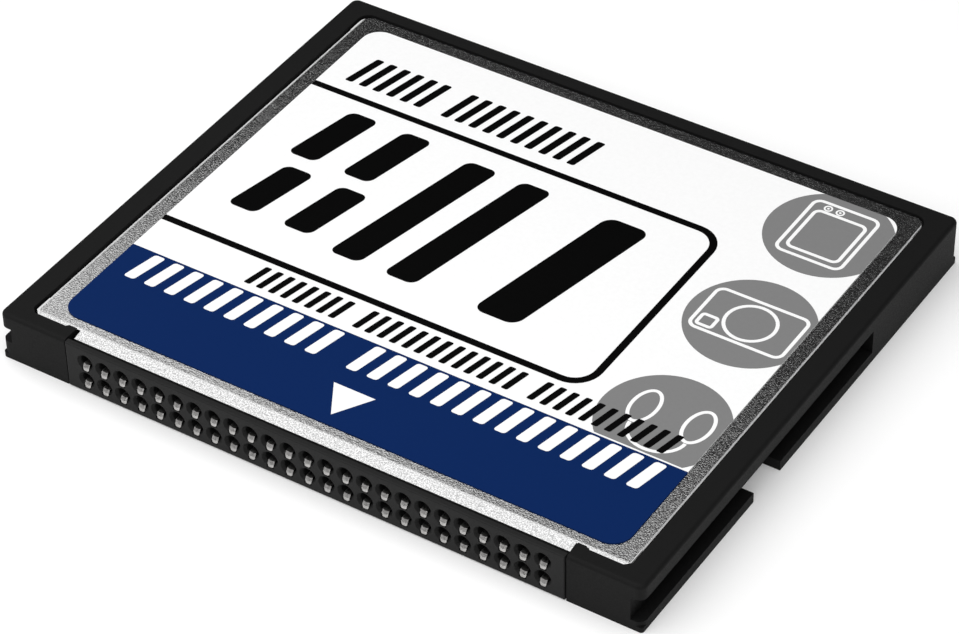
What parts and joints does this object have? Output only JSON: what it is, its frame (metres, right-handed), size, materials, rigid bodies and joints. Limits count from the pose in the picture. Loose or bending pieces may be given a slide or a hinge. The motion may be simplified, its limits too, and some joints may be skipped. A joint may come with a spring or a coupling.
{
  "type": "memory card",
  "caption": "Thin removable memory card with a two-row socket connector on its front edge, keyed side grooves, steel covers and a printed label.",
  "frame": {"origin": "centre of the card's outline, on the plane that it lies on", "axes": "+X along the connector, to the right as the label is read from the connector's side; +Y from the connector's face to the back edge; +Z from the plain cover to the label"},
  "size_m": [0.0428, 0.0364, 0.0033],
  "materials": {
    "frame_plastic": "fine moulded grain",
    "connector_plastic": "smooth moulded, glass filled",
    "cover_steel": "fine blasted grain",
    "label_film": "satin printed film",
    "insulating_film": "clear amber film",
    "contact_metal": "bright plated",
    "board_laminate": "solder mask",
    "package_moulding": "matt moulding compound",
    "lead_metal": "tinned",
    "ceramic": "fired ceramic",
    "crystal_metal": "plated lid",
    "capacitor_moulding": "moulded",
    "resistor_body": "glazed"
  },
  "bodies": {
    "root": {"frame": "frame_plastic", "top_cover": "cover_steel", "bottom_cover": "cover_steel", "label": "label_film", "top_insulator": "insulating_film", "bottom_insulator": "insulating_film", "connector_housing": "connector_plastic", "upper_contacts": "contact_metal", "lower_contacts": "contact_metal", "circuit_board": "board_laminate", "controller_chip": "package_moulding", "upper_memory_chip": "package_moulding", "lower_memory_chip": "package_moulding", "voltage_regulator": "package_moulding", "regulator_leads": "lead_metal", "crystal_base": "ceramic", "crystal_lid": "crystal_metal", "tantalum_capacitors": "capacitor_moulding", "ceramic_capacitors": "ceramic", "resistors": "resistor_body", "resistor_networks": "resistor_body"}
  },
  "joints": []
}
